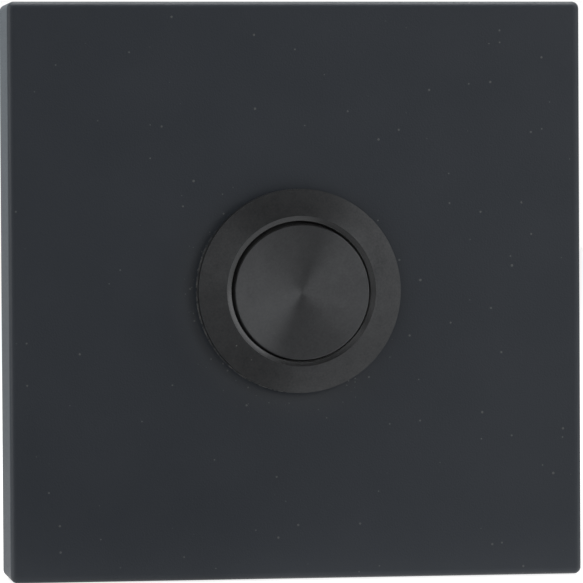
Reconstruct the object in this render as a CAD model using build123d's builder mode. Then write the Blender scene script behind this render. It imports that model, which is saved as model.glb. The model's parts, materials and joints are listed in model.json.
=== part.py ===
from build123d import *
import os
from math import cos, pi

# Square doorbell push, in millimetres. The wall is the plane Y = 0, +Z is up and the front looks along -Y.
# A height is a distance in front of the wall, so a point at height h has Y = -h.

# Cover plate
plate_side = 50.0
plate_depth = 8.0
plate_front_wall = 2.0
plate_side_wall = 1.6
plate_edge_radius = 0.6
cavity_corner_radius = 0.6
panel_hole_clearance = 0.1

# Mounting base that is screwed to the wall
base_clearance = 0.15
base_floor = 3.0
base_rim_wall = 1.8
base_collar_wall = 1.4
base_rib_thickness = 1.4
base_rib_drop = 0.8
base_nut_clearance = 1.0
screw_hole_dia = 4.0
screw_head_dia = 7.4
screw_head_angle = 90
screw_inset = 6.4

# Snap tongues of the mounting base and their recesses in the cover
tongue_width = 10.0
tongue_slot = 1.2
nub_length = 6.0
nub_height = 1.4
nub_engagement = 0.35
nub_setback = 1.6
recess_clearance = 0.1

# Button cap
cap_dia = 11.7
cap_recess = 0.15
cap_dish = 0.14
cap_edge_break = 0.12
cap_gap = 0.2
cap_flange_thickness = 1.1
cap_pocket_wall = 1.95
cap_pocket_depth = 2.2
stop_gap = 0.05
travel = 1.5
running_clearance = 0.08

# Bezel with its threaded barrel
lip_width = 0.45
lip_length = 2.9
mouth_chamfer_width = 0.42
mouth_chamfer_depth = 0.25
cone_rise = 0.95
flange_overhang = 0.8
flange_rim_height = 1.15
flange_rim_break = 0.15
barrel_wall = 1.5
barrel_end_chamfer = 0.5
barrel_end_margin = 0.8
bore_step = 0.2

# Rubber seals
gasket_thickness = 0.4
gasket_inset = 0.3
gasket_clearance = 0.1
seal_section = 1.0
seal_clearance = 0.05
seal_side_play = 0.15
seal_setback = 0.9

# Nut and toothed washer behind the cover
nut_wall = 1.5
nut_thickness = 2.5
nut_corner_chamfer = 0.5
thread_clearance = 0.05
washer_thickness = 0.7
washer_rim = 0.7
washer_tooth_length = 0.75
washer_tooth_width = 1.1
washer_teeth = 16

# Plunger
plunger_fit = 0.03
stem_dia = 2.2
stem_tip_chamfer = 0.3
barb_dia = 3.2
barb_land = 0.4
barb_taper = 0.6
guide_length = 4.5
guide_margin = 0.8

# Springs
return_spring_length = 5.5
return_spring_wire = 0.7
return_spring_turns = 4.25
return_spring_gap = 0.45
contact_spring_length = 3.6
contact_spring_wire = 0.35
contact_spring_turns = 6.25
contact_spring_gap = 0.4
spring_end_gap = 0.02

# Contact plate and terminals
bridge_thickness = 0.4
bridge_width = 5.0
bridge_end_gap = 0.15
contact_gap = 0.05
post_dia = 2.8
post_neck_dia = 1.6
post_dome = 0.3
post_shank_length = 6.0
post_stand = 0.2
post_clearance = 0.03
terminal_washer_dia = 4.0
terminal_washer_thickness = 0.6
terminal_screw_dia = 2.0
terminal_screw_length = 4.5
terminal_screw_margin = 0.5
terminal_screw_clearance = 0.05
terminal_head_dia = 3.8
terminal_head_height = 1.5
terminal_head_round = 0.4
terminal_slot_width = 0.5
terminal_slot_depth = 0.7

# Moulded insert that closes the barrel
insert_rim_margin = 0.1
insert_rim_length = 1.5
insert_body_length = 5.6
insert_stub_length = 2.4
insert_post_wall = 0.7
insert_floor_margin = 0.3
barrier_thickness = 1.0
barrier_rise = 2.5
barrier_end_gap = 0.6

# Split ring that holds the insert
ring_thickness = 0.6
ring_width = 0.95
ring_groove_depth = 0.35
ring_clearance = 0.05
ring_side_play = 0.02
ring_opening = 5.0

# How far a cutting tool runs past the surface that it opens
cut_over = 0.5

# Radii of the push button, from the cap outwards and from the barrel inwards
cap_radius = cap_dia / 2
lip_radius = cap_radius + cap_gap
front_bore_radius = lip_radius + lip_width
rear_bore_radius = front_bore_radius + bore_step
ring_groove_radius = rear_bore_radius + ring_groove_depth
barrel_radius = front_bore_radius + barrel_wall
flange_radius = barrel_radius + flange_overhang
mouth_radius = lip_radius + mouth_chamfer_width
cap_flange_radius = front_bore_radius - running_clearance
cap_pocket_radius = cap_radius - cap_pocket_wall
seal_radius = lip_radius - seal_clearance - seal_section / 2
seal_groove_radius = seal_radius - seal_section / 2 - seal_clearance
stem_radius = stem_dia / 2
barb_radius = barb_dia / 2
guide_radius = stem_radius + running_clearance
return_spring_radius = front_bore_radius - return_spring_gap - return_spring_wire / 2
contact_spring_radius = stem_radius + contact_spring_gap + contact_spring_wire / 2
insert_rim_radius = return_spring_radius - return_spring_wire / 2 - insert_rim_margin
ring_outer_radius = ring_groove_radius - ring_clearance
ring_inner_radius = ring_outer_radius - ring_width
insert_stub_radius = ring_inner_radius - ring_clearance
post_radius = post_dia / 2
post_neck_radius = post_neck_dia / 2
terminal_bore_radius = terminal_screw_dia / 2 + terminal_screw_clearance
post_offset = insert_stub_radius - insert_post_wall - post_radius
thread_bore_radius = barrel_radius + thread_clearance
washer_root_radius = thread_bore_radius + washer_tooth_length
washer_tooth_reach = washer_tooth_length + washer_rim / 2
nut_across_flats = 2 * (barrel_radius + nut_wall)
nut_corner_radius = nut_across_flats / 2 / cos(pi / 6)

# Heights of the push button, from the face of the cover plate
cavity_depth = plate_depth - plate_front_wall
flange_under = plate_depth + gasket_thickness
rim_top = flange_under + flange_rim_height
bezel_top = rim_top + cone_rise
mouth_height = bezel_top - mouth_chamfer_depth
lip_back = mouth_height - lip_length
cap_face = bezel_top - cap_recess
cap_flange_front = lip_back - stop_gap
cap_back = cap_flange_front - cap_flange_thickness
cap_pocket_floor = cap_back + cap_pocket_depth
seal_height = mouth_height - seal_setback
seal_groove_half = seal_section / 2 + seal_side_play
bridge_front = cap_back - contact_spring_length
bridge_back = bridge_front - bridge_thickness
barb_back = bridge_back - barb_land
guide_start = barb_back - barb_taper
plunger_tip = guide_start - guide_length
contact_front = bridge_back - travel - contact_gap
chamber_floor = guide_start - travel - insert_floor_margin
spring_seat = cap_back - return_spring_length
bore_step_height = spring_seat - insert_rim_length
ring_front = bore_step_height - insert_body_length
ring_back = ring_front - ring_thickness
barrel_end = ring_back - barrel_end_margin
insert_back = ring_front - insert_stub_length
guide_end = plunger_tip - travel - guide_margin
washer_back = cavity_depth - washer_thickness
nut_back = washer_back - nut_thickness
post_back = insert_back - post_stand
post_shoulder = post_back + post_shank_length
terminal_washer_back = post_back - terminal_washer_thickness
terminal_head_back = terminal_washer_back - terminal_head_height
terminal_screw_tip = terminal_washer_back + terminal_screw_length
terminal_bore_end = terminal_screw_tip + terminal_screw_margin

# Mounting base and its fit in the cover
cavity_side = plate_side - 2 * plate_side_wall
base_side = cavity_side - 2 * base_clearance
base_half = base_side / 2
base_hole_radius = nut_corner_radius + base_nut_clearance
nub_middle = cavity_depth - nub_setback
nub_proud = base_clearance + nub_engagement
recess_depth = nub_engagement + recess_clearance
screw_offset = base_half - screw_inset

# Half sections are drawn here: x is the distance from the button's axis, y the height
section_plane = Plane(origin=(0, 0, 0), x_dir=(1, 0, 0), z_dir=(0, 0, -1))


def front_plane(height):
    """A plane facing the viewer at a height in front of the wall."""
    return Plane.XZ.offset(height)


# Cover plate: a shallow square cap with a round hole for the push button
with BuildPart() as cover_plate:
    with BuildSketch(front_plane(0)):
        Rectangle(plate_side, plate_side)
    extrude(amount=plate_depth)
    front_edges = cover_plate.faces().sort_by(Axis.Y).first.edges()
    fillet(front_edges + cover_plate.edges().filter_by(Axis.Y), radius=plate_edge_radius)
    with BuildSketch(front_plane(0)):
        RectangleRounded(cavity_side, cavity_side, cavity_corner_radius)
    extrude(amount=cavity_depth, mode=Mode.SUBTRACT)
    with BuildSketch(front_plane(cavity_depth)):
        Circle(barrel_radius + panel_hole_clearance)
    extrude(amount=plate_front_wall, mode=Mode.SUBTRACT)
    with BuildSketch(front_plane(nub_middle - nub_height / 2 - recess_clearance)):
        with Locations((cavity_side / 2, 0), (-cavity_side / 2, 0)):
            Rectangle(2 * recess_depth, nub_length + 2 * recess_clearance)
    extrude(amount=nub_height + 2 * recess_clearance, mode=Mode.SUBTRACT)

# Mounting base: floor, rim, collar round the nut, ribs, snap tongues and two countersunk screw holes
with BuildPart() as mounting_base:
    with BuildSketch(front_plane(0)):
        RectangleRounded(base_side, base_side, cavity_corner_radius)
    extrude(amount=base_floor)
    with BuildSketch(front_plane(base_floor)):
        RectangleRounded(base_side, base_side, cavity_corner_radius)
        Rectangle(base_side - 2 * base_rim_wall, base_side - 2 * base_rim_wall, mode=Mode.SUBTRACT)
        Circle(base_hole_radius + base_collar_wall)
    extrude(amount=cavity_depth - base_floor)
    with BuildSketch(front_plane(base_floor)):
        Rectangle(base_rib_thickness, base_side - base_rim_wall)
        Rectangle(base_rib_thickness, 2 * base_half, rotation=-45)
        Rectangle(base_side - base_rim_wall, base_side - base_rim_wall, mode=Mode.INTERSECT)
    extrude(amount=cavity_depth - base_floor - base_rib_drop)
    with BuildSketch(front_plane(0)):
        Circle(base_hole_radius)
    extrude(amount=cavity_depth, mode=Mode.SUBTRACT)
    with BuildSketch(front_plane(base_floor)):
        for side in (-1, 1):
            for end in (-1, 1):
                with Locations((side * base_half, end * (tongue_width + tongue_slot) / 2)):
                    Rectangle(2 * (base_rim_wall + cut_over), tongue_slot)
    extrude(amount=cavity_depth - base_floor, mode=Mode.SUBTRACT)
    with BuildSketch(section_plane):
        with BuildLine():
            Polyline(
                (base_half, nub_middle - nub_height / 2),
                (base_half + nub_proud, nub_middle),
                (base_half, nub_middle + nub_height / 2),
                (base_half - cut_over, nub_middle),
                close=True,
            )
        make_face()
        mirror(about=Plane.YZ)
    extrude(amount=nub_length / 2, both=True)
    with Locations(front_plane(base_floor)):
        with Locations((-screw_offset, screw_offset), (screw_offset, -screw_offset)):
            CounterSinkHole(screw_hole_dia / 2, screw_head_dia / 2, base_floor, screw_head_angle)

# Bezel: flange with a conical face, stop lip for the cap and the barrel that carries the thread
with BuildPart() as bezel_body:
    with BuildSketch(section_plane):
        with BuildLine():
            Polyline(
                (lip_radius, mouth_height),
                (mouth_radius, bezel_top),
                (flange_radius - flange_rim_break, rim_top),
                (flange_radius, rim_top - flange_rim_break),
                (flange_radius, flange_under),
                (barrel_radius, flange_under),
                (barrel_radius, barrel_end + barrel_end_chamfer),
                (barrel_radius - barrel_end_chamfer, barrel_end),
                (rear_bore_radius, barrel_end),
                (rear_bore_radius, ring_back - ring_side_play),
                (ring_groove_radius, ring_back - ring_side_play),
                (ring_groove_radius, ring_front + ring_side_play),
                (rear_bore_radius, ring_front + ring_side_play),
                (rear_bore_radius, bore_step_height),
                (front_bore_radius, bore_step_height),
                (front_bore_radius, lip_back),
                (lip_radius, lip_back),
                close=True,
            )
        make_face()
    revolve(axis=Axis.Y)

# Flat rubber ring between the bezel's flange and the cover plate
with BuildPart() as panel_gasket:
    with BuildSketch(front_plane(plate_depth)):
        Circle(flange_radius - gasket_inset)
        Circle(barrel_radius + gasket_clearance, mode=Mode.SUBTRACT)
    extrude(amount=gasket_thickness)

# Toothed washer behind the cover plate, with its teeth pointing at the barrel
with BuildPart() as lock_washer:
    with BuildSketch(front_plane(washer_back)):
        Circle(washer_root_radius + washer_rim)
        Circle(washer_root_radius, mode=Mode.SUBTRACT)
        with PolarLocations(thread_bore_radius + washer_tooth_reach / 2, washer_teeth):
            Rectangle(washer_tooth_reach, washer_tooth_width)
        Circle(thread_bore_radius, mode=Mode.SUBTRACT)
    extrude(amount=washer_thickness)

# Thin hexagon nut with chamfered corners
with BuildPart() as lock_nut:
    with BuildSketch(front_plane(nut_back)):
        RegularPolygon(nut_across_flats / 2, side_count=6, major_radius=False)
        Circle(thread_bore_radius, mode=Mode.SUBTRACT)
    extrude(amount=nut_thickness)
    with BuildSketch(section_plane):
        with BuildLine():
            Polyline(
                (0, nut_back),
                (nut_across_flats / 2, nut_back),
                (nut_corner_radius, nut_back + nut_corner_chamfer),
                (nut_corner_radius, washer_back - nut_corner_chamfer),
                (nut_across_flats / 2, washer_back),
                (0, washer_back),
                close=True,
            )
        make_face()
    revolve(axis=Axis.Y, mode=Mode.INTERSECT)

# Button cap: flat face, groove for its seal, stop flange and a pocket for the plunger
with BuildPart() as button_cap:
    with BuildSketch(section_plane):
        with BuildLine():
            Polyline(
                (0, cap_face - cap_dish),
                (cap_radius - cap_edge_break, cap_face),
                (cap_radius, cap_face - cap_edge_break),
                (cap_radius, seal_height + seal_groove_half),
                (seal_groove_radius, seal_height + seal_groove_half),
                (seal_groove_radius, seal_height - seal_groove_half),
                (cap_radius, seal_height - seal_groove_half),
                (cap_radius, cap_flange_front),
                (cap_flange_radius, cap_flange_front),
                (cap_flange_radius, cap_back),
                (cap_pocket_radius, cap_back),
                (cap_pocket_radius, cap_pocket_floor),
                (0, cap_pocket_floor),
                close=True,
            )
        make_face()
    revolve(axis=Axis.Y)

# Rubber ring that keeps water out between the cap and the bezel's lip
with BuildPart() as cap_seal:
    with BuildSketch(section_plane):
        with Locations((seal_radius, seal_height)):
            Circle(seal_section / 2)
    revolve(axis=Axis.Y)

# Plunger: head in the cap's pocket, stem with a snap barb, and a guide that runs in the insert
with BuildPart() as plunger:
    with BuildSketch(section_plane):
        with BuildLine():
            Polyline(
                (0, cap_pocket_floor),
                (cap_pocket_radius - plunger_fit, cap_pocket_floor),
                (cap_pocket_radius - plunger_fit, cap_back),
                (stem_radius, cap_back),
                (stem_radius, bridge_back),
                (barb_radius, bridge_back),
                (barb_radius, barb_back),
                (stem_radius, guide_start),
                (stem_radius, plunger_tip + stem_tip_chamfer),
                (stem_radius - stem_tip_chamfer, plunger_tip),
                (0, plunger_tip),
                close=True,
            )
        make_face()
    revolve(axis=Axis.Y)

# Contact plate that bridges the two posts when the cap is pressed
with BuildPart() as contact_bridge:
    with BuildSketch(front_plane(bridge_back)):
        Circle(insert_rim_radius - bridge_end_gap)
        Rectangle(2 * insert_rim_radius, bridge_width, mode=Mode.INTERSECT)
        Circle(stem_radius + running_clearance, mode=Mode.SUBTRACT)
    extrude(amount=bridge_thickness)


def coil(radius, wire, turns, low, high):
    """A round-wire compression spring on the button's axis that fills the space between two heights."""
    start = low + wire / 2 + spring_end_gap
    rise = high - low - wire - 2 * spring_end_gap
    with BuildPart() as spring:
        with BuildLine() as centre_line:
            foot = (0, -start, 0)
            Helix(pitch=rise / turns, height=rise, radius=radius, center=foot, direction=(0, -1, 0))
        with BuildSketch(Plane(origin=centre_line.line @ 0, z_dir=centre_line.line % 0)):
            Circle(wire / 2)
        sweep(is_frenet=True)
    return spring


return_spring = coil(
    return_spring_radius, return_spring_wire, return_spring_turns, spring_seat, cap_back
)
contact_spring = coil(
    contact_spring_radius, contact_spring_wire, contact_spring_turns, bridge_front, cap_back
)

# Moulded insert: seat for the return spring, guide for the plunger, holes for the posts and a barrier
with BuildPart() as terminal_base:
    with BuildSketch(section_plane):
        with BuildLine():
            Polyline(
                (0, chamber_floor),
                (insert_rim_radius, chamber_floor),
                (insert_rim_radius, spring_seat),
                (front_bore_radius - running_clearance, spring_seat),
                (front_bore_radius - running_clearance, bore_step_height),
                (rear_bore_radius - running_clearance, bore_step_height),
                (rear_bore_radius - running_clearance, ring_front),
                (insert_stub_radius, ring_front),
                (insert_stub_radius, insert_back),
                (0, insert_back),
                close=True,
            )
        make_face()
    revolve(axis=Axis.Y)
    with BuildSketch(front_plane(insert_back)):
        Rectangle(barrier_thickness, 2 * (insert_stub_radius - barrier_end_gap))
    extrude(amount=-barrier_rise)
    with BuildSketch(front_plane(guide_end)):
        Circle(guide_radius)
    extrude(amount=chamber_floor - guide_end, mode=Mode.SUBTRACT)
    with BuildSketch(front_plane(insert_back)):
        with Locations((-post_offset, 0), (post_offset, 0)):
            Circle(post_neck_radius + post_clearance)
    extrude(amount=chamber_floor - insert_back, mode=Mode.SUBTRACT)
    with BuildSketch(front_plane(insert_back)):
        with Locations((-post_offset, 0), (post_offset, 0)):
            Circle(post_radius + post_clearance)
    extrude(amount=post_shoulder - insert_back, mode=Mode.SUBTRACT)

# Split ring in the barrel's groove
with BuildPart() as retaining_ring:
    with BuildSketch(front_plane(ring_back)):
        Circle(ring_outer_radius)
        Circle(ring_inner_radius, mode=Mode.SUBTRACT)
        with Locations((0, ring_outer_radius)):
            Rectangle(ring_opening, 2 * (ring_width + cut_over), mode=Mode.SUBTRACT)
    extrude(amount=ring_thickness)

pieces = {
    "cover_plate": cover_plate,
    "mounting_base": mounting_base,
    "bezel_body": bezel_body,
    "panel_gasket": panel_gasket,
    "lock_washer": lock_washer,
    "lock_nut": lock_nut,
    "button_cap": button_cap,
    "cap_seal": cap_seal,
    "plunger": plunger,
    "contact_bridge": contact_bridge,
    "return_spring": return_spring,
    "contact_spring": contact_spring,
    "terminal_base": terminal_base,
    "retaining_ring": retaining_ring,
}

# The two terminals: a brass post, its washer and its slotted screw on each side
for side, offset in (("left", -post_offset), ("right", post_offset)):
    post_section = Plane(origin=(offset, 0, 0), x_dir=(1, 0, 0), z_dir=(0, 0, -1))
    post_axis = Axis(origin=(offset, 0, 0), direction=(0, 1, 0))

    with BuildPart() as contact_post:
        with BuildSketch(post_section):
            with BuildLine():
                Polyline(
                    (0, contact_front),
                    (post_neck_radius - post_dome, contact_front),
                    (post_neck_radius, contact_front - post_dome),
                    (post_neck_radius, post_shoulder),
                    (post_radius, post_shoulder),
                    (post_radius, post_back),
                    (terminal_bore_radius, post_back),
                    (terminal_bore_radius, terminal_bore_end),
                    (0, terminal_bore_end),
                    close=True,
                )
            make_face()
        revolve(axis=post_axis)

    with BuildPart() as terminal_washer:
        with BuildSketch(front_plane(terminal_washer_back)):
            with Locations((offset, 0)):
                Circle(terminal_washer_dia / 2)
                Circle(terminal_bore_radius, mode=Mode.SUBTRACT)
        extrude(amount=terminal_washer_thickness)

    with BuildPart() as terminal_screw:
        with BuildSketch(post_section):
            with BuildLine():
                Polyline(
                    (0, terminal_screw_tip),
                    (terminal_screw_dia / 2, terminal_screw_tip),
                    (terminal_screw_dia / 2, terminal_washer_back),
                    (terminal_head_dia / 2, terminal_washer_back),
                    (terminal_head_dia / 2, terminal_head_back + terminal_head_round),
                    (terminal_head_dia / 2 - terminal_head_round, terminal_head_back),
                    (0, terminal_head_back),
                    close=True,
                )
            make_face()
        revolve(axis=post_axis)
        with BuildSketch(front_plane(terminal_head_back)):
            with Locations((offset, 0)):
                Rectangle(terminal_slot_width, terminal_head_dia + cut_over)
        extrude(amount=terminal_slot_depth, mode=Mode.SUBTRACT)

    pieces[f"contact_post_{side}"] = contact_post
    pieces[f"terminal_washer_{side}"] = terminal_washer
    pieces[f"terminal_screw_{side}"] = terminal_screw

os.makedirs("parts", exist_ok=True)
for name, piece in pieces.items():
    piece.part.label = name
    export_step(piece.part, f"parts/{name}.step")
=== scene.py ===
import json
from math import cos, radians, sin, tan, tau

import bmesh
import bpy
from mathutils import Matrix, Vector


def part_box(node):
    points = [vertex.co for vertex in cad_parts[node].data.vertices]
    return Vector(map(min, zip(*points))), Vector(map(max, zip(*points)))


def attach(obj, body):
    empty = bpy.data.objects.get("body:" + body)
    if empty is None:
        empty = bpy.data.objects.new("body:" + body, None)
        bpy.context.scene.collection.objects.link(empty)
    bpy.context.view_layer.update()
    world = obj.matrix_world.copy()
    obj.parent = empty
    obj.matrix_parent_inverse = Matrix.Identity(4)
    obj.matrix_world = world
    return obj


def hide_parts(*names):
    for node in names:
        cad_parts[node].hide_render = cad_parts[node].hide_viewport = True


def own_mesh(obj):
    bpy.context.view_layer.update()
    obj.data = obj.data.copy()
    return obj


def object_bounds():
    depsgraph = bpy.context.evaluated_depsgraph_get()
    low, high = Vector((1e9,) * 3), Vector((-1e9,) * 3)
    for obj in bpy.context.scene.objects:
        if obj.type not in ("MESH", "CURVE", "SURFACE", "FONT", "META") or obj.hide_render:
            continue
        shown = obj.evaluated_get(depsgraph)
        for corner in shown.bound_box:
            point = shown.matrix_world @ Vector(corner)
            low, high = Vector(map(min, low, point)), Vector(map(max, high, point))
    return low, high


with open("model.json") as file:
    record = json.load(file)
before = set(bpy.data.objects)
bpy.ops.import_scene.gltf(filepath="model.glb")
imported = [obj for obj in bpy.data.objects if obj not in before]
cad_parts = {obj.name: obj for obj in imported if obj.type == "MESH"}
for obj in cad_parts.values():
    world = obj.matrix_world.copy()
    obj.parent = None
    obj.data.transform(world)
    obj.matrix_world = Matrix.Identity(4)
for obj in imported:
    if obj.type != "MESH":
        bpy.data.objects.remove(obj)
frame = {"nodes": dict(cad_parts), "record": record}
cad_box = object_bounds()

# A square doorbell push, in metres. The wall is the plane Y = 0, +Z is up and the front looks along -Y.
MM = 0.001

# Turned bezel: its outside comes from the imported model, these are its inner sizes, its chamfers and its domed cone
LIP_RADIUS = 6.05 * MM
LIP_LENGTH = 2.9 * MM
MOUTH_CHAMFER_WIDTH = 0.42 * MM
MOUTH_CHAMFER_DEPTH = 0.25 * MM
CONE_RISE = 0.95 * MM
CONE_BULGE = 0.04 * MM
CONE_STEPS = 8
BARREL_RADIUS = 8.0 * MM
BARREL_END_CHAMFER = 0.5 * MM
FRONT_BORE_RADIUS = 6.5 * MM
REAR_BORE_RADIUS = 6.7 * MM
RING_GROOVE_RADIUS = 7.05 * MM
RING_SIDE_PLAY = 0.02 * MM
INSERT_RIM_LENGTH = 1.5 * MM
SPRING_END_GAP = 0.02 * MM
FINE_EDGE = 0.05 * MM

# Thread on the barrel, 16 mm by 1 mm
THREAD_PITCH = 1.0 * MM
THREAD_DEPTH = 0.55 * MM
THREAD_CREST = 0.14
THREAD_ROOT = 0.25
THREAD_ROWS = 12
THREAD_START = 1.6 * MM

# Button cap, which settles a little off centre in the bezel
CAP_RADIUS = 5.85 * MM
CAP_DISH = 0.3 * MM
CAP_CENTRE = 0.3 * MM
CAP_SETTLE = (0.09 * MM, 0, -0.1 * MM)
CAP_EDGE = 0.12 * MM
CAP_FLANGE_THICKNESS = 1.1 * MM
CAP_POCKET_RADIUS = 3.9 * MM
CAP_POCKET_DEPTH = 2.2 * MM
SEAL_SIDE_PLAY = 0.15 * MM
SEAL_GROOVE_RADIUS = 4.95 * MM

# Return spring
SPRING_TURNS = 4.25
SPRING_WIRE_RADIUS = 0.35 * MM
SPRING_STEPS = 48
SPRING_SIDES = 12

# Roundness of the new meshes
LATHE_STEPS = 160
ARC_STEPS = 4
SHARP_ANGLE = radians(35)

# Dust on the plate: loose specks, and a ring round the bezel that the cloth misses, with more specks, most of it at
# the lower left. In that ring a painted light also lightens the bezel's shadow on the plate
UP_RIGHT = (1, 0, 1)
PLATE_DUST_AND_LIGHT_COLOUR = (0.16, 0.16, 0.155, 1.0)
PLATE_SPECK_COVER = 0.4
SPECK_AND_PAINTED_LIGHT_RING = (8.9 * MM, 12.2 * MM)
SPECK_AND_PAINTED_LIGHT_SIDE = (-7 * MM, 6 * MM)
SPECK_AND_PAINTED_LIGHT_LEAST = 0.2
MISSED_SPECK_SIZE = 0.32
PAINTED_LIGHT_RING = (8.95 * MM, 9.25 * MM)
PAINTED_LIGHT_COVER = 0.12

# Dust on the bezel: specks and a line at its foot that lies on the plate too. The shaded gap round the cap is
# lightened with painted light
BEZEL_DUST_AND_LIGHT_COLOUR = (0.22, 0.22, 0.215, 1.0)
BEZEL_SPECK_COVER = 0.5
GAP_PAINTED_LIGHT = 0.6
GAP_REACH = 0.01 * MM
GAP_ROUGHNESS = 0.7
FOOT_SIDE = (-6 * MM, -1 * MM)
FOOT_RADIUS = 8.8 * MM
FOOT_REACH = 0.07 * MM
FOOT_RISE = 0.1 * MM
FOOT_HALF_HEIGHT = 0.15 * MM
FOOT_INNER_RADIUS = BARREL_RADIUS + 0.5 * MM

# The bezel's mouth, whose chamfer is cut after the black finish
CUT_COLOUR = (0.054, 0.055, 0.0565, 1.0)
CUT_ROUGHNESS = 0.26

# Camera, fitted to the outline of the plate and to the rings of the bezel
CAMERA_AZIMUTH = radians(8.227)
CAMERA_ELEVATION = radians(1.294)
CAMERA_ROLL = radians(-0.331)
CAMERA_DISTANCE = 0.4063
CAMERA_LENS = 284.28
CAMERA_SENSOR = 36
CAMERA_SHIFT = (0.01244, -0.00504)
CAMERA_CLIP_START = 0.01

# Room: its plain light, and the cool white backdrop that the object mirrors
WHITE = (1.0, 1.0, 1.0, 1.0)
ROOM_LIGHT = 0.2
BACKDROP_LEAN = (0.0, 1.0, 0.6)
BACKDROP_EDGE = (0.35, 0.75)
BACKDROP_MIRRORED = (0.86, 0.95, 1.0, 1.0)

# Floor: its size and colour, then how brightly the object mirrors its right, left, near and back parts
FLOOR_DROP = 0.1 * MM
FLOOR_HALF = 2.0
FLOOR_COLOUR = (0.34, 0.34, 0.34, 1.0)
FLOOR_SEEN = 0.85
FLOOR_SLANT = (1.0, 0.25, 0.0)
FLOOR_RIGHT = (0.9, 0.52)
FLOOR_RIGHT_FADE = (-130 * MM, -40 * MM)
FLOOR_RIGHT_EDGE = (-9 * MM, -4 * MM)
FLOOR_LEFT = 0.12
FLOOR_LEFT_EDGE = (-50 * MM, -25 * MM)
FLOOR_NEAR = 1.15
FLOOR_NEAR_EDGE = (-20 * MM, -11 * MM)
FLOOR_BACK = 0.25
FLOOR_BACK_EDGE = (-5 * MM, 5 * MM)

# Soft lights, all at one distance: azimuth and elevation in degrees, width and height in metres, and brightness.
# An area lamp has a brightness of 1 at 4 watts per square metre.
LAMP_POWER = 4
LIGHT_DISTANCE = 0.6
LIGHTS = {
    "front_right": (29, 12, 0.2, 0.3, 2.05),
    "front_left": (-23, 15, 0.2, 0.3, 0.95),
    "right": (74, 24, 0.31, 0.56, 1.8),
    "right_high": (58, 46, 0.3, 0.2, 0.5),
    "overhead": (0, 87, 0.6, 0.25, 4.2),
    "rear_top": (180, 75, 0.6, 0.3, 3.4),
    "left": (-85, 14, 0.3, 0.34, 3.8),
    "left_high": (-55, 42, 0.3, 0.3, 0.55),
    "left_front": (-45, 8, 0.22, 0.16, 0.35),
}

# The bezel's flange ends where its gasket starts
flange_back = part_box("panel_gasket")[0].y


# Materials

class Nodes:
    """A tree of shader nodes on one kind of coordinates. Most methods add a node and return its output."""

    def __init__(self, tree, coordinates):
        self.tree = tree
        self.place = self.node("ShaderNodeTexCoord").outputs[coordinates]

    def node(self, kind, inputs=None, **settings):
        made = self.tree.nodes.new(kind)
        for key, value in settings.items():
            setattr(made, key, value)
        self.fill(made, inputs or {})
        return made

    def fill(self, node, inputs):
        for key, value in inputs.items():
            if isinstance(value, bpy.types.NodeSocket):
                self.tree.links.new(value, node.inputs[key])
            else:
                node.inputs[key].default_value = value

    def math(self, operation, a, b=0.0, c=0.0):
        return self.node("ShaderNodeMath", {0: a, 1: b, 2: c}, operation=operation).outputs["Value"]

    def chain(self, operation, first, *others):
        """The same operation on any number of values."""
        for other in others:
            first = self.math(operation, first, other)
        return first

    def between(self, factor, low, high, start=0.3, end=0.7, **settings):
        """A number that goes from low to high as the factor goes from start to end."""
        inputs = {"Value": factor, "From Min": start, "From Max": end, "To Min": low, "To Max": high}
        return self.node("ShaderNodeMapRange", inputs, **settings).outputs["Result"]

    def mixed(self, factor, below, above):
        """One colour laid over another."""
        return self.node("ShaderNodeMix", {0: factor, 6: below, 7: above}, data_type="RGBA").outputs[2]

    def along(self, direction):
        """Distance along a direction."""
        inputs = {0: self.place, 1: direction}
        return self.node("ShaderNodeVectorMath", inputs, operation="DOT_PRODUCT").outputs["Value"]

    def depth(self):
        """Distance towards the wall."""
        return self.node("ShaderNodeSeparateXYZ", {0: self.place}).outputs["Y"]

    def rays(self):
        """1 for a ray from the camera, also through glass, and 1 for a ray that a glossy surface mirrors."""
        path = self.node("ShaderNodeLightPath").outputs
        return self.math("MAXIMUM", path["Is Camera Ray"], path["Is Transmission Ray"]), path["Is Glossy Ray"]


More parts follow.
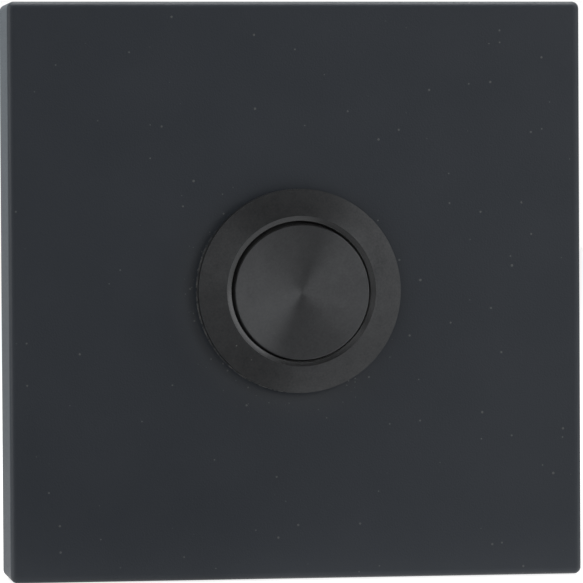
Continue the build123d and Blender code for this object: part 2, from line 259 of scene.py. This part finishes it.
class Finish(Nodes):
    """A material of nodes on object coordinates."""

    def __init__(self, name):
        self.material = bpy.data.materials.new(name)
        self.material.use_nodes = True
        super().__init__(self.material.node_tree, "Object")
        self.shader = self.tree.nodes["Principled BSDF"]

    def shade(self, **inputs):
        """Fills the shader's inputs, named with _ for a space."""
        self.fill(self.shader, {key.replace("_", " "): value for key, value in inputs.items()})

    def noise(self, size, detail=2.0, place=None):
        """Cloudy noise whose blots are about this size."""
        inputs = {"Vector": place or self.place, "Scale": 1 / size, "Detail": detail}
        return self.node("ShaderNodeTexNoise", inputs).outputs["Fac"]

    def line_noise(self, distance, size, detail=2.0):
        """Noise along one distance only, so that it makes lines or rings of about this width."""
        inputs = {"W": distance, "Scale": 1 / size, "Detail": detail}
        return self.node("ShaderNodeTexNoise", inputs, noise_dimensions="1D").outputs["Fac"]

    def blend(self, main, other, share=0.6):
        """Two noises in one, with this share of the main one."""
        return self.math("MULTIPLY_ADD", main, share, self.math("MULTIPLY", other, 1 - share))

    def stretched(self, x, y, z):
        """The place with each direction multiplied."""
        inputs = {0: self.place, 1: (x, y, z)}
        return self.node("ShaderNodeVectorMath", inputs, operation="MULTIPLY").outputs["Vector"]

    def radius(self):
        """Distance from the button's axis."""
        return self.node("ShaderNodeVectorMath", {0: self.stretched(1, 0, 1)}, operation="LENGTH").outputs["Value"]

    def near(self, distance, middle, reach):
        """1 within reach of the middle, and 0 elsewhere."""
        return self.math("COMPARE", distance, middle, reach)

    def specks(self, spacing, rare, size):
        """1 on specks in some of the cells of this spacing, up to size times as large, and 0 between them."""
        cells = self.node("ShaderNodeTexVoronoi", {"Vector": self.place, "Scale": 1 / spacing})
        chance = self.node("ShaderNodeSeparateColor", {0: cells.outputs["Color"]}).outputs[0]
        return self.math("LESS_THAN", cells.outputs["Distance"], self.between(chance, 0.0, size, rare, 1.0))

    def dust_line(self, band):
        """Dots of dust along a band, on the lower left only."""
        lower_left = self.between(self.along(UP_RIGHT), 1.0, 0.0, *FOOT_SIDE)
        dots = self.between(self.noise(size=0.24 * MM), low=0.05, high=0.9, start=0.38, end=0.7)
        return self.chain("MULTIPLY", band, lower_left, dots)

    def colours(self, factor, low, high, start=0.3, end=0.7):
        """A colour that goes from low to high as the factor goes from start to end."""
        ramp = self.node("ShaderNodeValToRGB", {"Fac": factor})
        for element, position, colour in zip(ramp.color_ramp.elements, (start, end), (low, high)):
            element.position = position
            element.color = (*colour, 1.0)
        return ramp.outputs["Color"]

    def bump(self, height, depth):
        """Small relief of about this depth."""
        inputs = {"Height": height, "Distance": depth}
        self.shade(Normal=self.node("ShaderNodeBump", inputs).outputs["Normal"])


def plate_coat():
    """Fine matt powder coat with specks of dust, more of them round the bezel, and painted light over the bezel's
    shadow on the plate, most at the lower left.
    """
    finish = Finish("plate_coat")
    cloud = finish.noise(size=7 * MM, detail=3.0)
    tone = finish.colours(cloud, low=(0.0164, 0.0211, 0.0281), high=(0.0196, 0.0243, 0.0317))
    radius = finish.radius()
    ring = finish.between(radius, 1.0, 0.0, *SPECK_AND_PAINTED_LIGHT_RING)
    speck_and_painted_light_ring = finish.math("MULTIPLY", ring, finish.between(finish.along(UP_RIGHT), 1.0, SPECK_AND_PAINTED_LIGHT_LEAST, *SPECK_AND_PAINTED_LIGHT_SIDE))
    line = finish.dust_line(finish.near(radius, middle=FOOT_RADIUS, reach=FOOT_REACH))
    loose = finish.specks(spacing=0.9 * MM, rare=0.55, size=0.13)
    caught = finish.specks(spacing=0.36 * MM, rare=0.5, size=finish.math("MULTIPLY", speck_and_painted_light_ring, MISSED_SPECK_SIZE))
    specks = finish.math("MULTIPLY", finish.math("MAXIMUM", loose, caught), PLATE_SPECK_COVER)
    # Painted light: a pale film that lightens the bezel's shadow on the plate, strongest at the lower left
    painted_light = finish.chain("MULTIPLY", speck_and_painted_light_ring, speck_and_painted_light_ring, finish.between(radius, 0.0, PAINTED_LIGHT_COVER, *PAINTED_LIGHT_RING))
    dust_and_painted_light = finish.chain("MAXIMUM", specks, line, painted_light)
    grain = finish.noise(size=0.16 * MM)
    finish.shade(Base_Color=finish.mixed(dust_and_painted_light, tone, PLATE_DUST_AND_LIGHT_COLOUR))
    finish.shade(Roughness=finish.between(grain, low=0.43, high=0.53), Specular_IOR_Level=0.3)
    finish.bump(grain, depth=0.01 * MM)
    return finish.material


def turned(name, dark, light, smooth, rough, anisotropic):
    """Black anodised aluminium with turning marks round the button's axis, and a chamfer that is cut bright."""
    finish = Finish(name)
    radius, depth = finish.radius(), finish.depth()
    marks = finish.line_noise(finish.math("ADD", radius, depth), size=0.09 * MM, detail=3.0)
    grain = finish.noise(size=0.17 * MM)
    relief = finish.blend(marks, grain)
    mottle = finish.blend(grain, finish.noise(size=0.9 * MM, detail=4.0))
    cut = finish.near(radius, middle=LIP_RADIUS + MOUTH_CHAMFER_WIDTH / 2, reach=MOUTH_CHAMFER_WIDTH / 2)
    gap = finish.near(radius, middle=LIP_RADIUS, reach=GAP_REACH)
    foot = finish.math("MULTIPLY", finish.near(depth, middle=flange_back - FOOT_RISE, reach=FOOT_HALF_HEIGHT),
                       finish.math("GREATER_THAN", radius, FOOT_INNER_RADIUS))
    tone = finish.mixed(cut, finish.colours(mottle, dark, light), CUT_COLOUR)
    specks = finish.math("MULTIPLY", finish.specks(spacing=1.4 * MM, rare=0.72, size=0.055), BEZEL_SPECK_COVER)
    # Painted light: the dark gap round the cap is lightened with the pale dust colour
    dust_and_painted_light = finish.chain("MAXIMUM", specks, finish.dust_line(foot), finish.math("MULTIPLY", gap, GAP_PAINTED_LIGHT))
    finish.shade(Base_Color=finish.mixed(dust_and_painted_light, tone, BEZEL_DUST_AND_LIGHT_COLOUR))
    gloss = finish.between(cut, finish.between(relief, smooth, rough), CUT_ROUGHNESS, start=0.0, end=1.0)
    finish.shade(Metallic=1.0, Roughness=finish.between(gap, gloss, GAP_ROUGHNESS, start=0.0, end=1.0))
    turning = finish.node("ShaderNodeTangent", direction_type="RADIAL", axis="Y")
    finish.shade(Anisotropic=anisotropic, Anisotropic_Rotation=0.25, Tangent=turning.outputs["Tangent"])
    finish.bump(relief, depth=0.0015 * MM)
    return finish.material


def turned_black():
    return turned("turned_black", dark=(0.0357, 0.0368, 0.0383), light=(0.0527, 0.0539, 0.0557),
                  smooth=0.32, rough=0.42, anisotropic=0.5)


def turned_face():
    """The cap's own face: more strongly marked than the bezel."""
    return turned("turned_face", dark=(0.0600, 0.0616, 0.0642), light=(0.0766, 0.0782, 0.0808),
                  smooth=0.33, rough=0.4, anisotropic=0.93)


def base_nylon():
    """Dark grey moulded nylon with a light spark texture."""
    finish = Finish("base_nylon")
    flow = finish.noise(size=9 * MM)
    grain = finish.noise(size=0.22 * MM, detail=3.0)
    finish.shade(Base_Color=finish.colours(flow, low=(0.074, 0.076, 0.079), high=(0.094, 0.096, 0.099)))
    finish.shade(Roughness=finish.between(grain, low=0.5, high=0.64))
    finish.bump(grain, depth=0.012 * MM)
    return finish.material


def insert_plastic():
    """Smooth ivory moulding."""
    finish = Finish("insert_plastic")
    flow = finish.noise(size=3 * MM, place=finish.stretched(1, 0.4, 1))
    grain = finish.noise(size=0.25 * MM)
    finish.shade(Base_Color=finish.colours(flow, low=(0.60, 0.555, 0.455), high=(0.67, 0.63, 0.53)))
    finish.shade(Roughness=finish.between(grain, low=0.36, high=0.46))
    finish.bump(grain, depth=0.004 * MM)
    return finish.material


def rubber():
    """Matt black rubber with a faint bloom."""
    finish = Finish("rubber")
    bloom = finish.noise(size=1.2 * MM, detail=4.0)
    grain = finish.noise(size=0.1 * MM)
    finish.shade(Base_Color=finish.colours(bloom, low=(0.014, 0.014, 0.015), high=(0.022, 0.022, 0.023)))
    finish.shade(Roughness=finish.between(bloom, low=0.62, high=0.76))
    finish.bump(grain, depth=0.004 * MM)
    return finish.material


def brass():
    """Turned brass, a little dulled."""
    finish = Finish("brass")
    tarnish = finish.noise(size=0.9 * MM, detail=4.0)
    marks = finish.noise(size=0.06 * MM, place=finish.stretched(0.1, 1, 0.1))
    finish.shade(Base_Color=finish.colours(tarnish, low=(0.56, 0.39, 0.17), high=(0.72, 0.52, 0.24)))
    finish.shade(Metallic=1.0, Roughness=finish.between(marks, low=0.24, high=0.36))
    finish.bump(marks, depth=0.002 * MM)
    return finish.material


def spring_steel():
    """Drawn and blued spring steel."""
    finish = Finish("spring_steel")
    cloud = finish.noise(size=0.8 * MM, detail=3.0)
    marks = finish.noise(size=0.07 * MM, place=finish.stretched(1, 0.2, 1))
    finish.shade(Base_Color=finish.colours(cloud, low=(0.40, 0.40, 0.42), high=(0.54, 0.54, 0.56)))
    finish.shade(Metallic=1.0, Roughness=finish.between(marks, low=0.28, high=0.4))
    finish.bump(marks, depth=0.0015 * MM)
    return finish.material


def plated_steel():
    """Zinc plate with its faint crystals."""
    finish = Finish("plated_steel")
    crystals = finish.node("ShaderNodeTexVoronoi", {"Vector": finish.place, "Scale": 1 / (0.6 * MM)})
    shade = finish.node("ShaderNodeSeparateColor", {0: crystals.outputs["Color"]}).outputs[0]
    grain = finish.noise(size=0.12 * MM)
    tone = finish.colours(shade, low=(0.58, 0.58, 0.58), high=(0.66, 0.66, 0.64), start=0.0, end=1.0)
    finish.shade(Base_Color=tone)
    finish.shade(Metallic=1.0, Roughness=finish.between(grain, low=0.26, high=0.38))
    finish.bump(grain, depth=0.002 * MM)
    return finish.material


makers = (plate_coat, turned_black, turned_face, base_nylon, insert_plastic, rubber, brass, spring_steel, plated_steel)
finishes = {make.__name__: make() for make in makers}
for subpart in frame["record"]["subparts"]:
    frame["nodes"][subpart["node"]].material_slots[0].material = finishes[subpart["material_slot"]]


# Turned pieces

def rounded(corners):
    """The outline through these (radius, y, rounding) corners, with an arc at each corner that has a rounding."""
    outline = []
    for index, (radius, y, rounding) in enumerate(corners):
        corner = Vector((radius, y))
        if not rounding:
            outline.append(corner)
            continue
        back = (Vector(corners[index - 1][:2]) - corner).normalized()
        ahead = (Vector(corners[(index + 1) % len(corners)][:2]) - corner).normalized()
        half = back.angle(ahead) / 2
        middle = corner + (back + ahead).normalized() * rounding / sin(half)
        start = corner + back * rounding / tan(half) - middle
        end = corner + ahead * rounding / tan(half) - middle
        for step in range(ARC_STEPS + 1):
            share = step / ARC_STEPS
            spoke = start.lerp(end, share).normalized() * rounding
            outline.append(middle + spoke)
    return outline


def add_piece(name, mesh_builder, body, slot, *replaced, finish=None, place=(0, 0, 0)):
    """Makes a smooth mesh object of a bmesh, puts it on a body and gives it its slot's finish or one of its own."""
    mesh = bpy.data.meshes.new(name)
    bmesh.ops.recalc_face_normals(mesh_builder, faces=mesh_builder.faces)
    mesh_builder.to_mesh(mesh)
    mesh_builder.free()
    mesh.shade_smooth()
    mesh.set_sharp_from_angle(angle=SHARP_ANGLE)
    mesh.materials.append(finishes[finish or slot])
    piece = bpy.data.objects.new(name, mesh)
    piece.location = place
    bpy.context.collection.objects.link(piece)
    normals = piece.modifiers.new("flat_faces_stay_flat", "WEIGHTED_NORMAL")
    normals.keep_sharp = True
    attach(piece, body)
    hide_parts(*replaced)
    return piece


def lathe(outline, closed, relief=None):
    """Turns an outline of (radius, y) points round the Y axis.

    relief(angle, radius, y) is how deep a thread cuts there.
    """
    builder = bmesh.new()
    rings = []
    for radius, y in outline:
        if radius == 0:
            rings.append([builder.verts.new((0, y, 0))] * LATHE_STEPS)
            continue
        ring = []
        for step in range(LATHE_STEPS):
            angle = tau * step / LATHE_STEPS
            r = radius - (relief(angle, radius, y) if relief else 0)
            ring.append(builder.verts.new((r * cos(angle), y, r * sin(angle))))
        rings.append(ring)
    pairs = list(zip(rings, rings[1:])) + ([(rings[-1], rings[0])] if closed else [])
    for inner, outer in pairs:
        for step in range(LATHE_STEPS):
            after = (step + 1) % LATHE_STEPS
            loop = (inner[step], inner[after], outer[after], outer[step])
            builder.faces.new(list(dict.fromkeys(loop)))
    return builder


bezel_low, bezel_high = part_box("bezel_body")
bezel_front, barrel_end, flange_radius = bezel_low.y, bezel_high.y, bezel_high.x
mouth = bezel_front + MOUTH_CHAMFER_DEPTH
rim_front = bezel_front + CONE_RISE
lip_back = mouth + LIP_LENGTH
ring_front, ring_back = (corner.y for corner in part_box("retaining_ring"))
bore_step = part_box("return_spring")[1].y + SPRING_END_GAP + INSERT_RIM_LENGTH
thread_front = flange_back + THREAD_START
thread_back = barrel_end - BARREL_END_CHAMFER


def thread_relief(angle, radius, y):
    """Depth of the thread's groove, which fades in behind the flange."""
    if radius < BARREL_RADIUS or not thread_front <= y <= thread_back:
        return 0.0
    turn = (y / THREAD_PITCH - angle / tau) % 1.0
    from_crest = abs(2 * turn - 1)
    depth = (from_crest - THREAD_CREST) / (1 - THREAD_CREST - THREAD_ROOT)
    fade = min(1.0, (y - thread_front) / THREAD_PITCH)
    return THREAD_DEPTH * fade * min(1.0, max(0.0, depth))


def cone_rings():
    """Rings of the bezel's slightly domed cone, from the mouth's chamfer to the rim."""
    inner = Vector((LIP_RADIUS + MOUTH_CHAMFER_WIDTH, bezel_front))
    outer = Vector((flange_radius, rim_front))
    for step in range(1, CONE_STEPS):
        share = step / CONE_STEPS
        arch = 4 * share * (1 - share)
        radius, y = inner.lerp(outer, share)
        yield radius, y - CONE_BULGE * arch, 0


thread_rows = round((thread_back - thread_front) / THREAD_PITCH * THREAD_ROWS)
thread_step = (thread_back - thread_front) / thread_rows
bezel_corners = [
    (LIP_RADIUS, mouth, FINE_EDGE),
    (LIP_RADIUS + MOUTH_CHAMFER_WIDTH, bezel_front, FINE_EDGE),
    *cone_rings(),
    (flange_radius, rim_front, 0),
    (flange_radius, flange_back, FINE_EDGE),
    (BARREL_RADIUS, flange_back, 0),
    *((BARREL_RADIUS, thread_front + thread_step * row, 0) for row in range(thread_rows + 1)),
    (BARREL_RADIUS - BARREL_END_CHAMFER, barrel_end, 0),
    (REAR_BORE_RADIUS, barrel_end, 0),
    (REAR_BORE_RADIUS, ring_back + RING_SIDE_PLAY, 0),
    (RING_GROOVE_RADIUS, ring_back + RING_SIDE_PLAY, 0),
    (RING_GROOVE_RADIUS, ring_front - RING_SIDE_PLAY, 0),
    (REAR_BORE_RADIUS, ring_front - RING_SIDE_PLAY, 0),
    (REAR_BORE_RADIUS, bore_step, 0),
    (FRONT_BORE_RADIUS, bore_step, 0),
    (FRONT_BORE_RADIUS, lip_back, 0),
    (LIP_RADIUS, lip_back, 0),
]
add_piece(
    "turned_bezel", lathe(rounded(bezel_corners), True, thread_relief), "housing", "turned_black", "bezel_body"
)

cap_low, cap_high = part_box("button_cap")
cap_face, cap_back, cap_flange_radius = cap_low.y, cap_high.y, cap_high.x
cap_flange_front = cap_back - CAP_FLANGE_THICKNESS
pocket_floor = cap_back - CAP_POCKET_DEPTH
seal_front, seal_back = (corner.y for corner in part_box("cap_seal"))
cap_corners = [
    (0, cap_face + CAP_DISH, 0),
    (CAP_CENTRE, cap_face + CAP_DISH * (1 - CAP_CENTRE / CAP_RADIUS), 0),
    (CAP_RADIUS, cap_face, CAP_EDGE),
    (CAP_RADIUS, seal_front - SEAL_SIDE_PLAY, 0),
    (SEAL_GROOVE_RADIUS, seal_front - SEAL_SIDE_PLAY, 0),
    (SEAL_GROOVE_RADIUS, seal_back + SEAL_SIDE_PLAY, 0),
    (CAP_RADIUS, seal_back + SEAL_SIDE_PLAY, 0),
    (CAP_RADIUS, cap_flange_front, 0),
    (cap_flange_radius, cap_flange_front, FINE_EDGE),
    (cap_flange_radius, cap_back, FINE_EDGE),
    (CAP_POCKET_RADIUS, cap_back, FINE_EDGE),
    (CAP_POCKET_RADIUS, pocket_floor, 0),
    (0, pocket_floor, 0),
]
add_piece(
    "turned_cap", lathe(rounded(cap_corners), False), "button", "turned_black", "button_cap",
    finish="turned_face", place=CAP_SETTLE,
)


# Return spring, built as one coil; in the real push it shortens as the button goes in

spring_low, spring_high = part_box("return_spring")
spring_length = spring_high.y - spring_low.y
coil_radius = spring_high.x - SPRING_WIRE_RADIUS
coil_start = spring_high.y - SPRING_WIRE_RADIUS
coil_rise = spring_length - 2 * SPRING_WIRE_RADIUS


def coil():
    """Round wire along a helix that runs forward from its seat."""
    builder = bmesh.new()
    rings = []
    steps = round(SPRING_TURNS * SPRING_STEPS)
    for step in range(steps + 1):
        share = step / steps
        angle = -tau * SPRING_TURNS * share
        outward = Vector((cos(angle), 0, sin(angle)))
        middle = outward * coil_radius + Vector((0, coil_start - coil_rise * share, 0))
        ring = []
        for side in range(SPRING_SIDES):
            turn = tau * side / SPRING_SIDES
            spoke = outward * cos(turn) + Vector((0, sin(turn), 0))
            ring.append(builder.verts.new(middle + spoke * SPRING_WIRE_RADIUS))
        rings.append(ring)
    for ring, following in zip(rings, rings[1:]):
        for side in range(SPRING_SIDES):
            after = (side + 1) % SPRING_SIDES
            builder.faces.new((ring[side], ring[after], following[after], following[side]))
    builder.faces.new(rings[0])
    builder.faces.new(rings[-1])
    return builder


spring = add_piece("return_coil", coil(), "housing", "spring_steel", "return_spring")
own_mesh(spring)


# Studio

def world_light():
    """A white background behind the object, also in its reflections, and a dimmer room in front of it."""
    world = bpy.data.worlds.new("studio")
    bpy.context.scene.world = world
    world.use_nodes = True
    nodes = Nodes(world.node_tree, "Generated")
    seen, glossy = nodes.rays()
    behind = nodes.between(nodes.along(BACKDROP_LEAN), 0.0, 1.0, *BACKDROP_EDGE, interpolation_type="SMOOTHSTEP")
    mirrored = nodes.math("MULTIPLY", glossy, behind)
    bright = nodes.math("MAXIMUM", seen, mirrored)
    nodes.fill(world.node_tree.nodes["Background"], {
        "Strength": nodes.math("MULTIPLY_ADD", bright, 1 - ROOM_LIGHT, ROOM_LIGHT),
        "Color": nodes.mixed(mirrored, WHITE, BACKDROP_MIRRORED),
    })


def floor():
    """A pale floor under the plate's lower edge, which keeps the object's shadow."""
    builder = bmesh.new()
    bmesh.ops.create_grid(builder, x_segments=1, y_segments=1, size=FLOOR_HALF)
    mesh = bpy.data.meshes.new("floor")
    builder.to_mesh(mesh)
    builder.free()
    ground = bpy.data.objects.new("floor", mesh)
    ground.location.z = cad_box[0].z - FLOOR_DROP
    bpy.context.collection.objects.link(ground)
    finish = Finish("floor")
    seen, glossy = finish.rays()
    depth, across = finish.depth(), finish.along(FLOOR_SLANT)
    right = finish.between(across, 0.0, finish.between(depth, *FLOOR_RIGHT, *FLOOR_RIGHT_FADE), *FLOOR_RIGHT_EDGE)
    near = finish.between(depth, 0.0, FLOOR_NEAR, *FLOOR_NEAR_EDGE)
    left = finish.between(across, FLOOR_LEFT, 0.0, *FLOOR_LEFT_EDGE)
    back = finish.between(depth, 0.0, 1.0, *FLOOR_BACK_EDGE)
    glow = finish.between(back, finish.chain("ADD", right, near, left), FLOOR_BACK, start=0.0, end=1.0)
    mirrored = finish.math("MULTIPLY", glossy, glow)
    cool = finish.math("MULTIPLY", glossy, back)
    finish.shade(Base_Color=FLOOR_COLOUR, Roughness=1.0, Specular_IOR_Level=0.0)
    finish.shade(Emission_Color=finish.mixed(cool, WHITE, BACKDROP_MIRRORED))
    finish.shade(Emission_Strength=finish.math("MULTIPLY_ADD", seen, FLOOR_SEEN, mirrored))
    mesh.materials.append(finish.material)


def softbox(name, azimuth, elevation, width, height, brightness):
    """A soft light that looks at the button. Azimuth 0 is in front and 90 on the right."""
    lamp = bpy.data.lights.new(name, "AREA")
    lamp.shape = "RECTANGLE"
    lamp.size, lamp.size_y = width, height
    lamp.energy = LAMP_POWER * width * height * brightness
    box = bpy.data.objects.new(name, lamp)
    turn, rise = radians(azimuth), radians(elevation)
    box.location = LIGHT_DISTANCE * Vector((sin(turn) * cos(rise), -cos(turn) * cos(rise), sin(rise)))
    box.rotation_euler = box.location.to_track_quat("Z", "Y").to_euler()
    bpy.context.collection.objects.link(box)


world_light()
floor()
for light, values in LIGHTS.items():
    softbox(light, *values)


# Camera

aim = Vector((sin(CAMERA_AZIMUTH) * cos(CAMERA_ELEVATION), cos(CAMERA_AZIMUTH) * cos(CAMERA_ELEVATION),
              -sin(CAMERA_ELEVATION)))
level = aim.cross(Vector((0, 0, 1))).normalized()
upright = level.cross(aim)
right = level * cos(CAMERA_ROLL) + upright * sin(CAMERA_ROLL)
up = upright * cos(CAMERA_ROLL) - level * sin(CAMERA_ROLL)
view = bpy.data.cameras.new("camera")
view.lens = CAMERA_LENS
view.sensor_width = CAMERA_SENSOR
view.shift_x, view.shift_y = CAMERA_SHIFT
view.clip_start = CAMERA_CLIP_START
camera = bpy.data.objects.new("camera", view)
camera.matrix_world = Matrix.Translation(-aim * CAMERA_DISTANCE) @ Matrix((right, up, -aim)).transposed().to_4x4()
bpy.context.collection.objects.link(camera)
bpy.context.scene.camera = camera
bpy.context.scene.view_settings.view_transform = "Standard"
